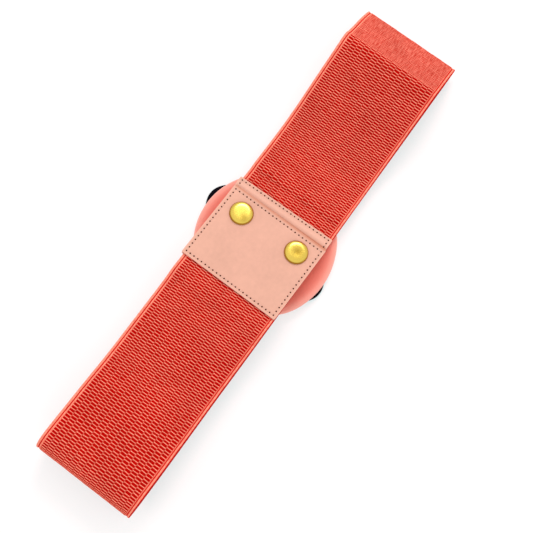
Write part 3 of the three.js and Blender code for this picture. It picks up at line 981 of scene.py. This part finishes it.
def tab_painted_light_and_shade(x):
    """Painted shade in the crease beside the flap's edge and a painted highlight on the ridge."""
    away = (x - FLAP_RIGHT) / MM
    return 0.75 * np.exp(-(((away - 3.6) / 1.7) ** 2)) - 1.3 * np.exp(-((away / 0.9) ** 2))


def opened(x, thick_end, thin_end):
    """How far the two skins stand apart: the band's thickness in the pocket, then a ramp down to none."""
    way = math.copysign(1, thin_end - thick_end)
    into = (x - thick_end) * way
    ramp = np.clip((POCKET_DEPTH + SKIN + POCKET_RAMP - into) / POCKET_RAMP, 0, 1)
    return (THICK_LEATHER - THIN_LEATHER) * ramp * ramp * (3 - 2 * ramp)


def make_leather(name, node, sizes, face, painted_light_and_shade, seam, closed, place):
    """A leather piece of two skins with the band's end between them, and its visible seam. The sizes are
    its thick end, its thin end and its width."""
    leather = settings("leather")
    thick_end, thin_end, width = sizes
    low = np.array([min(thick_end, thin_end), -width / 2])
    high = np.array([max(thick_end, thin_end), width / 2])
    holes = seam_holes(seam(low, high), leather.stitch_pitch, closed)
    groove, pit, between = 0.12 * MM, 0.3 * MM, 0.04 * MM

    def sunk(x, y):
        return seam_relief(x, y, holes, groove, pit)

    def still(x, y):
        return 0 * x

    def upper_bottom(x, y):
        return face(x, y) - SKIN

    def lower_top(x, y):
        return face(x, y) - SKIN - between - opened(x, thick_end, thin_end)

    def lower_bottom(x, y):
        return face(x, y) - 2 * SKIN - opened(x, thick_end, thin_end)

    upper = leather_skin(low, high, face, upper_bottom, sunk, painted_light_and_shade, 0.45 * MM)
    lower = leather_skin(low, high, lower_top, lower_bottom, still, painted_light_and_shade, 0.9 * MM)
    points, faces, edge = joined([upper, lower])
    # Paler colour for the cut edges, partly their own and partly painted highlight, and for painted light on
    # the tab's ridge
    pale = [min(1.0, value * 1.12 + 0.05) for value in leather.colour]
    look = {"roughness": 0.62, "grain_scale": 1500.0, "grain_depth": 0.06 * MM, "mottle": 0.055}
    material = leather_material("Peach leather", leather.colour, pale, **look)
    skins = make_mesh(name, place(*points.T), faces, material, values={"edge": edge})
    finish_piece(skins, "peach_leather", node)
    for piece in seam_pieces(name + "_seam1", holes, face, groove, place):
        finish_piece(piece, "peach_leather")


def lathe(profile, sides):
    """Points and faces of a profile of radius and height turned about Z. Its ends are on the axis."""
    profile = np.asarray(profile, float)
    turn = np.arange(sides) * 2 * np.pi / sides
    ring = profile[1:-1]
    x = ring[:, 0, None] * np.cos(turn)
    y = ring[:, 0, None] * np.sin(turn)
    z = np.broadcast_to(ring[:, 1, None], x.shape)
    points = np.stack([x, y, z], axis=-1).reshape(-1, 3)
    points = np.vstack([points, (0, 0, profile[0, 1]), (0, 0, profile[-1, 1])])
    rows = len(ring)
    sides_faces = grid_faces(rows, sides, around_columns=True)
    here = np.arange(sides)
    after = (here + 1) % sides
    last = (rows - 1) * sides
    first_fan = np.stack([after, here, np.full(sides, rows * sides)], axis=1)
    last_fan = np.stack([last + here, last + after, np.full(sides, rows * sides + 1)], axis=1)
    return points, [sides_faces, first_fan, last_fan]


def arc(centre, radius, start, stop, count):
    """Points on a circle from one angle to another, in degrees."""
    angle = np.radians(np.linspace(start, stop, count))
    return np.stack([centre[0] + radius * np.cos(angle), centre[1] + radius * np.sin(angle)], axis=1)


def make_cap(name, side, node, shift, dent):
    """A brass snap cap, from the bore up to the top: sleeve, rolled rim and dome. The dome's height goes
    as the square root of one less the sixth power of the share of its radius, so it is flat in the
    middle. A shallow dent is a bell curve about a point of the top. The dent is darker, and the rim is
    painted darker as shade."""
    bore = POST_RADIUS + GAP
    rim = 0.42 * MM
    top = GAP + CAP_HEIGHT
    low = 0.8 * MM
    share = np.r_[0.995, 0.98, 0.96, 0.93, np.linspace(0.9, 0.05, 24)]
    reach = CAP_RADIUS - 0.35 * MM
    dome = np.stack([reach * share, low + (top - low) * np.sqrt(1 - share**6)], axis=-1)
    profile = np.vstack(
        [
            [(0, -GAP), (bore, -GAP), (bore, -THIN_LEATHER), (SLEEVE_RADIUS, -THIN_LEATHER)],
            [(SLEEVE_RADIUS, 0.12 * MM), (CAP_RADIUS - 1.2 * MM, 0.1 * MM)],
            arc((CAP_RADIUS - rim, 0.1 * MM + rim), rim, -90, 50, 8),
            dome,
            [(0, top)],
        ]
    )
    points, faces = lathe(profile, 96)
    x, y, z = points.T
    dent_x, dent_y, depth, reach, dent_darkening = dent
    bowl = np.exp(-(((x - dent_x) ** 2 + (y - dent_y) ** 2) / reach**2))
    flat = z > GAP + 0.8 * CAP_HEIGHT
    away = np.hypot(x, y)
    # Painted shade: the rim is darkened
    painted_rim_shade = np.clip((away - (CAP_RADIUS - 0.9 * MM)) / (0.4 * MM), 0, 1)
    painted_rim_shade_and_dent = np.maximum(dent_darkening * bowl * flat, painted_rim_shade)
    z = z - depth * bowl * flat
    placed = from_closure(x + CAP_X + shift[0], y + side * CAP_SIDE + shift[1], z)
    cap = make_mesh(name, placed, faces, brass_material(), values={"painted_rim_shade_and_dent": painted_rim_shade_and_dent})
    return finish_piece(cap, "brass", node)


def make_medallion():
    """The padded medallion: a disc whose faces swell as a power of the radius, with a round rim, a seam
    groove on the back and small tucks of the leather round it."""
    low, high = MEDALLION_LOW.z, MEDALLION_HIGH.z
    thick = high - low
    radius = MEDALLION_RADIUS
    front_round, back_round = 0.5 * thick, 0.42 * thick
    front = [(radius * share, low + 0.25 * MM * share**4) for share in (0, 0.2, 0.4, 0.6, 0.75, 0.86)]
    back = [(radius * share, high - 0.1 * MM * share**6) for share in (0.8, 0.6, 0.4, 0.2, 0)]
    profile = np.vstack(
        [
            front,
            arc((radius - front_round, low + front_round), front_round, -80, 0, 14),
            arc((radius - back_round, high - back_round), back_round, 8, 86, 14),
            [(radius * share, high - 0.05 * MM) for share in (0.925, 0.9, 0.87)],
            back,
        ]
    )
    points, faces = lathe(profile, 256)
    x, y, z = points.T
    away = np.hypot(x, y)
    angle = np.arctan2(y, x)
    seam = 0.35 * MM * np.exp(-(((away - 0.955 * radius) / (0.7 * MM)) ** 2))
    tuck = 0.10 * MM * np.sin(angle * 46) * np.exp(-(((away - 0.965 * radius) / (1.6 * MM)) ** 2))
    upper = (z > (low + high) / 2).astype(float)
    z = z + upper * (tuck - seam)
    z = z + 0.12 * MM * upper * np.sin(angle * 5 + 0.8) * (away / radius) ** 2
    z = np.clip(z, low, high)
    colour = settings("medallion").cover
    # Painted light: the cover is mixed towards a paler colour near the rim, where its padded edge turns to the
    # light
    painted_rim_light = (1.0, min(1.0, colour[1] * 3.1), min(1.0, colour[2] * 3.7))
    look = {"roughness": 0.5, "grain_scale": 1100.0, "grain_depth": 0.07 * MM, "mottle": 0.05}
    material = leather_material("Coral leather", colour, painted_rim_light, **look)
    edge = np.exp(-(((radius - away) / (4.6 * MM)) ** 2))
    # The soft cover bulges where the closure presses on it
    bulge = 1.1 * np.exp(-(((angle + 0.78) / 0.3) ** 2)) + 0.75 * np.exp(-(((angle + 2.2) / 0.3) ** 2)) - 0.25
    grow = 1 + bulge * MM * away / radius**2
    points = np.stack([x * grow + MEDALLION_SHIFT, y * grow + MEDALLION_SIDE, z], axis=1)
    return make_mesh("medallion_cover", points, faces, material, values={"edge": edge})


def make_plate():
    """The oval plate: rings of an ellipse drawn in along its outward direction as its rounded edge turns
    from the flat front to the flat back."""
    thick = PLATE_HIGH.z - PLATE_LOW.z
    rounding = thick / 2 - 0.1 * MM
    sides = 160
    turn = np.arange(sides) * 2 * np.pi / sides
    half_wide, half_long = PLATE_WIDTH / 2, PLATE_LENGTH / 2
    ellipse = np.stack([half_wide * np.cos(turn), half_long * np.sin(turn)], axis=1)
    outward = np.stack([np.cos(turn) / half_wide, np.sin(turn) / half_long], axis=1)
    outward /= np.linalg.norm(outward, axis=1)[:, None]
    lower = arc((-rounding, rounding), rounding, -90, 0, 9)
    upper = arc((-rounding, thick - rounding), rounding, 0, 90, 9)
    profile = np.vstack([[(-3 * MM, 0.0)], lower, upper, [(-3 * MM, thick)]])
    rings = ellipse[None] + outward[None] * profile[:, 0, None, None]
    x, y = rings[..., 0], rings[..., 1]
    z = np.broadcast_to(profile[:, 1, None], x.shape)
    x, y = turned(x, y, PLATE_TURN)
    points = np.stack([x + PLATE_SHIFT, y, z], axis=-1)
    return make_mesh("oval_gloss", points, tube_faces(len(profile), sides), plate_material())


class BELT_OT_band(bpy.types.Operator):
    """Makes the elastic band: its web with the selvedges, and the ribs on its outside"""

    bl_idname = "belt.band"
    bl_label = "Elastic band"

    def execute(self, context):
        line = BandLine()
        web = finish_piece(make_web(line), "elastic", "elastic_band")
        ribs = [finish_piece(piece, "elastic") for piece in make_ribs(line)]
        return {"FINISHED"}


class BELT_OT_closure(bpy.types.Operator):
    """Makes the leather flap and tab with their seams"""

    bl_idname = "belt.closure"
    bl_label = "Leather closure"

    def execute(self, context):
        inset = settings("leather").stitch_inset

        def round_flap(low, high):
            return seam_corners(low, high, inset, 1.2 * inset)

        def shown_tab(low, high):
            corners = seam_corners(low, high, inset, 0.75 * inset)
            start = FLAP_RIGHT + 0.9 * MM
            return np.array([(start, corners[1, 1]), corners[1], corners[2], (start, corners[2, 1])])

        flap = (FLAP_LEFT, FLAP_RIGHT, BAND_WIDTH + 2 * FLAP_OVERHANG)
        tab = (TAB_RIGHT, TAB_LEFT, BAND_WIDTH + 2 * TAB_OVERHANG)
        make_leather(
            "flap_leather", "leather_flap", flap, leather_top, flap_painted_shade, round_flap, True, from_closure
        )
        make_leather("tab_leather", "leather_tab", tab, tab_top, tab_painted_light_and_shade, shown_tab, False, from_tab)
        return {"FINISHED"}


class BELT_OT_snaps(bpy.types.Operator):
    """Makes the two brass snap caps and finishes their studs"""

    bl_idname = "belt.snaps"
    bl_label = "Snaps"

    def execute(self, context):
        # Each dent's x, y, depth and reach, and how much darker it is
        upper_dent = (-2.6 * MM, -3.6 * MM, 0.12 * MM, 2.4 * MM, 0.7)
        lower_dent = (0.0 * MM, -0.8 * MM, 0.16 * MM, 4.0 * MM, 1.0)
        make_cap("cap_upper", 1, "snap_cap_upper", (-0.15 * MM, -0.07 * MM), upper_dent)
        make_cap("cap_lower", -1, "snap_cap_lower", (0.6 * MM, -0.2 * MM), lower_dent)
        for node in ("snap_stud_upper", "snap_stud_lower"):
            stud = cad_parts[node]
            stud.data.materials.clear()
            stud.data.materials.append(brass_material())
        return {"FINISHED"}


class BELT_OT_medallion(bpy.types.Operator):
    """Makes the padded medallion and the oval plate on its front"""

    bl_idname = "belt.medallion"
    bl_label = "Medallion"

    def execute(self, context):
        medallion = finish_piece(make_medallion(), "coral_leather", "medallion")
        finish_piece(make_plate(), "black_gloss", "oval_plate")
        return {"FINISHED"}


# Where the middle of the picture falls on the closure, in millimetres
CAMERA_AIM = (-5.82, -11.7, 16.3)
KEY_DISTANCE = 1.8


def camera_axes(stage):
    """The camera's place and its right, up and back directions. It looks at the closure's top where the
    picture's middle is, leans from straight above, and is turned so that the belt has its angle."""
    aim = Vector(CAMERA_AIM) * MM
    back = Vector((-math.tan(stage.lean_along), -math.tan(stage.lean_across), 1)).normalized()
    belt = (Vector((1, 0, 0)) - back.x * back).normalized()
    across = back.cross(belt)
    right = math.cos(stage.belt_angle) * belt - math.sin(stage.belt_angle) * across
    up = math.sin(stage.belt_angle) * belt + math.cos(stage.belt_angle) * across
    return aim, right, up, back


class BELT_OT_stage(bpy.types.Operator):
    """Makes the pale floor, the soft light and the camera"""

    bl_idname = "belt.stage"
    bl_label = "Stage"

    def execute(self, context):
        stage = settings("stage")
        scene = context.scene
        aim, right, up, back = camera_axes(stage)
        data = bpy.data.cameras.new("camera")
        data.sensor_width = 36.0
        data.lens = data.sensor_width * stage.distance / stage.picture_width
        data.clip_start, data.clip_end = 0.01, 50.0
        camera = bpy.data.objects.new("camera", data)
        scene.collection.objects.link(camera)
        axes = Matrix((right, up, back)).transposed().to_4x4()
        camera.matrix_world = Matrix.Translation(aim + back * stage.distance) @ axes
        scene.camera = camera

        self.make_floor()
        self.make_sky(scene)
        self.make_key_light(scene, aim, 0.3 * right + up + Vector((0, 0, 1)))
        scene.view_settings.view_transform = "Standard"
        return {"FINISHED"}

    def make_key_light(self, scene, aim, way):
        """A square light a way off, which looks at the aim."""
        data = bpy.data.lights.new("key", "AREA")
        data.size = 0.6
        data.energy = 9.5
        data.color = (1.0, 0.995, 0.985)
        light = bpy.data.objects.new("key", data)
        scene.collection.objects.link(light)
        light.location = aim + way.normalized() * KEY_DISTANCE
        light.rotation_euler = (-way).to_track_quat("-Z", "Y").to_euler()

    def make_floor(self):
        """A wide pale floor with a faint uneven tone."""
        reach = 6.0
        corners = [(-reach, -reach, 0), (reach, -reach, 0), (reach, reach, 0), (-reach, reach, 0)]
        constants = {
            "Specular IOR Level": 0.0,
            "Emission Color": (0.285, 0.55, 0.555, 1),
            "Emission Strength": 1.0,
        }
        material, nodes, shader = new_material("Pale floor", 0.9, constants)
        dye = nodes.group("Uneven dye", Colour=(0.72, 0.45, 0.445, 1), Amount=0.002, Scale=3.0)
        nodes.finish(shader, dye.outputs[0])
        floor = make_mesh("floor", corners, [np.array([[0, 1, 2, 3]])], material)

    def make_sky(self, scene):
        """A white sky that is darker towards the horizon, so that brass has something to mirror."""
        world = bpy.data.worlds.new("sky")
        scene.world = world
        world.use_nodes = True
        nodes = Nodes(world.node_tree)
        way = nodes.add("ShaderNodeTexCoord").outputs["Generated"]
        height = nodes.add("ShaderNodeSeparateXYZ", {0: way}).outputs["Z"]
        background = world.node_tree.nodes["Background"]
        nodes.link(nodes.remap(height, stop=0.7, low=0.6), background.inputs["Color"])
        background.inputs["Strength"].default_value = 1.08


PARTS = (
    ("stage", StageSettings, BELT_OT_stage),
    ("band", BandSettings, BELT_OT_band),
    ("leather", LeatherSettings, BELT_OT_closure),
    ("brass", BrassSettings, BELT_OT_snaps),
    ("medallion", MedallionSettings, BELT_OT_medallion),
)


class BELT_PT_panel(bpy.types.Panel):
    """Lists the belt's pieces and their settings"""

    bl_idname = "BELT_PT_panel"
    bl_label = "Elastic stretch belt"
    bl_space_type = "VIEW_3D"
    bl_region_type = "UI"
    bl_category = "Belt"

    def draw(self, context):
        for name, group, operator in PARTS:
            box = self.layout.box()
            box.operator(operator.bl_idname)
            for key in group.__annotations__:
                box.prop(settings(name), key)


def register():
    for name, group, operator in PARTS:
        bpy.utils.register_class(group)
        bpy.utils.register_class(operator)
        setattr(bpy.types.Scene, "belt_" + name, PointerProperty(type=group))
    bpy.utils.register_class(BELT_PT_panel)


def unregister():
    bpy.utils.unregister_class(BELT_PT_panel)
    for name, group, operator in reversed(PARTS):
        delattr(bpy.types.Scene, "belt_" + name)
        bpy.utils.unregister_class(operator)
        bpy.utils.unregister_class(group)


def main():
    register()
    bpy.ops.belt.stage()
    bpy.ops.belt.band()
    bpy.ops.belt.closure()
    bpy.ops.belt.snaps()
    bpy.ops.belt.medallion()


if __name__ == "__main__":
    main()
